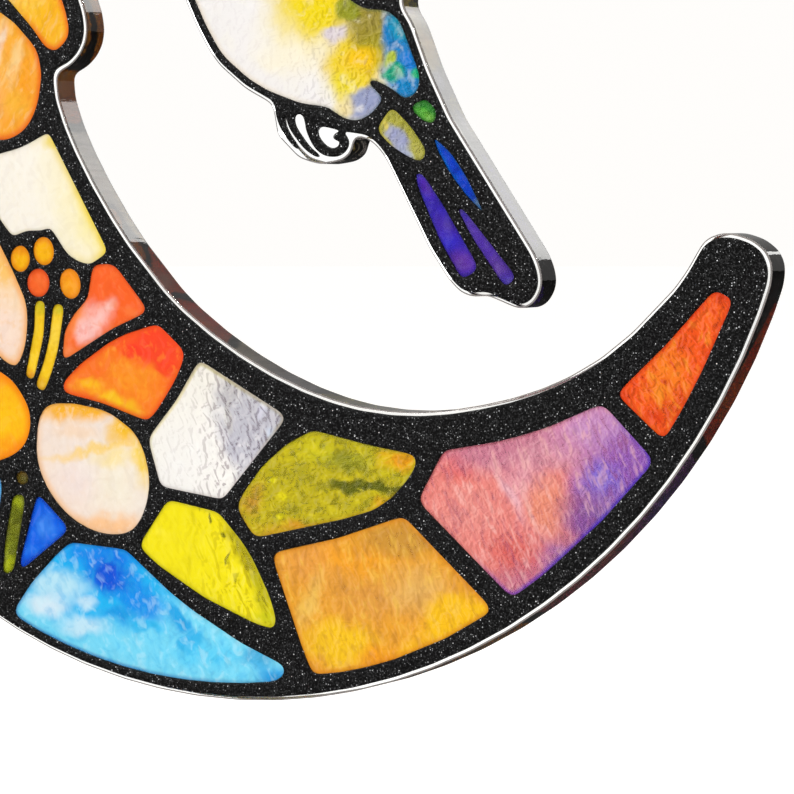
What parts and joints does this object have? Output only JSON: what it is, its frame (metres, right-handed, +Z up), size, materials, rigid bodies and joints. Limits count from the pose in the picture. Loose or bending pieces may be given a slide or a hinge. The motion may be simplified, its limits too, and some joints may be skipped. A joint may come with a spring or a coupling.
{
  "type": "hanging suncatcher",
  "caption": "Crescent moon suncatcher: a clear plate with raised black leading, coloured panes and a hummingbird hovering in the moon's opening.",
  "frame": {"origin": "centre of the hanging hole in the tab at the top, half way through the plate", "axes": "+Z up as the part hangs; the plate lies in the X-Z plane; its printed front faces -Y and its plain back faces +Y; +X is to the right seen from the front"},
  "size_m": [0.1134, 0.0034, 0.1225],
  "materials": {
    "clear_acrylic": "polished cast acrylic sheet, see-through, bright cut edges",
    "black_leading": "raised matte black relief print with fine silver sparkle",
    "orange_glass": "translucent printed colour under a clear bumpy relief",
    "red_glass": "translucent red to orange with a yellow corner, bumpy relief",
    "coral_glass": "translucent coral with a pale pink middle, bumpy relief",
    "gold_glass": "translucent golden yellow, bumpy relief",
    "amber_glass": "translucent amber, rippled relief",
    "yellow_glass": "translucent yellow, fine relief",
    "lime_glass": "translucent yellow-green, seedy relief",
    "olive_glass": "translucent olive with amber and dark streaks, rippled relief",
    "leaf_glass": "translucent leaf green, rippled relief",
    "green_glass": "translucent green, rippled relief",
    "teal_glass": "translucent teal, rippled relief",
    "sky_glass": "translucent sky blue to deep blue with white swirls, rippled relief",
    "blue_glass": "translucent deep blue, rippled relief",
    "violet_glass": "translucent salmon, lilac and violet streaks, rippled relief",
    "purple_glass": "translucent blue-violet, rippled relief",
    "rose_glass": "translucent rose, rippled relief",
    "cream_glass": "translucent cream with a yellow edge, smooth relief",
    "blush_glass": "translucent blush white with a golden edge, smooth relief",
    "white_glass": "translucent white to pale lilac, strongly rippled relief",
    "bird_glass": "translucent white, yellow, olive and teal areas that run into each other"
  },
  "bodies": {
    "root": {"clear_plate": "clear_acrylic", "black_leading": "black_leading", "horn_tip_pane": "orange_glass", "violet_pane": "violet_glass", "amber_pane": "amber_glass", "olive_pane": "olive_glass", "white_pane": "white_glass", "lime_pane": "lime_glass", "sky_pane": "sky_glass", "small_blue_pane": "blue_glass", "stem_pane": "leaf_glass", "bud_pane": "olive_glass", "bloom_petal_blush": "blush_glass", "bloom_petal_red": "red_glass", "bloom_petal_coral": "coral_glass", "bloom_petal_cream": "blush_glass", "bloom_petal_gold": "gold_glass", "filament_left": "yellow_glass", "filament_right": "yellow_glass", "anther_outer": "gold_glass", "anther_upper": "gold_glass", "anther_middle": "orange_glass", "anther_right": "gold_glass", "cream_pane": "cream_glass", "upper_petal_right": "gold_glass", "upper_petal_low": "gold_glass", "upper_petal_left": "gold_glass", "upper_petal_crown": "orange_glass", "upper_petal_top": "gold_glass", "upper_bloom_eye": "yellow_glass", "upper_horn_tip_pane": "orange_glass", "upper_rose_pane": "rose_glass", "upper_gold_pane": "amber_glass", "upper_leaf_pane": "leaf_glass", "limb_pane_1": "sky_glass", "limb_pane_2": "yellow_glass", "limb_pane_3": "blue_glass", "limb_pane_4": "white_glass", "limb_pane_5": "olive_glass", "limb_pane_6": "amber_glass", "limb_pane_7": "sky_glass", "bird_body": "bird_glass", "bird_throat": "rose_glass", "bird_crown": "green_glass", "rump_pane": "green_glass", "under_tail_pane": "olive_glass", "tail_blue_pane": "blue_glass", "tail_purple_pane": "purple_glass", "tail_violet_pane": "purple_glass", "near_wing_feather_1": "blue_glass", "near_wing_feather_2": "sky_glass", "near_wing_feather_3": "teal_glass", "near_wing_feather_4": "green_glass", "near_wing_feather_5": "purple_glass", "near_wing_covert": "teal_glass", "far_wing_feather_1": "blue_glass", "far_wing_feather_2": "sky_glass"}
  },
  "joints": []
}
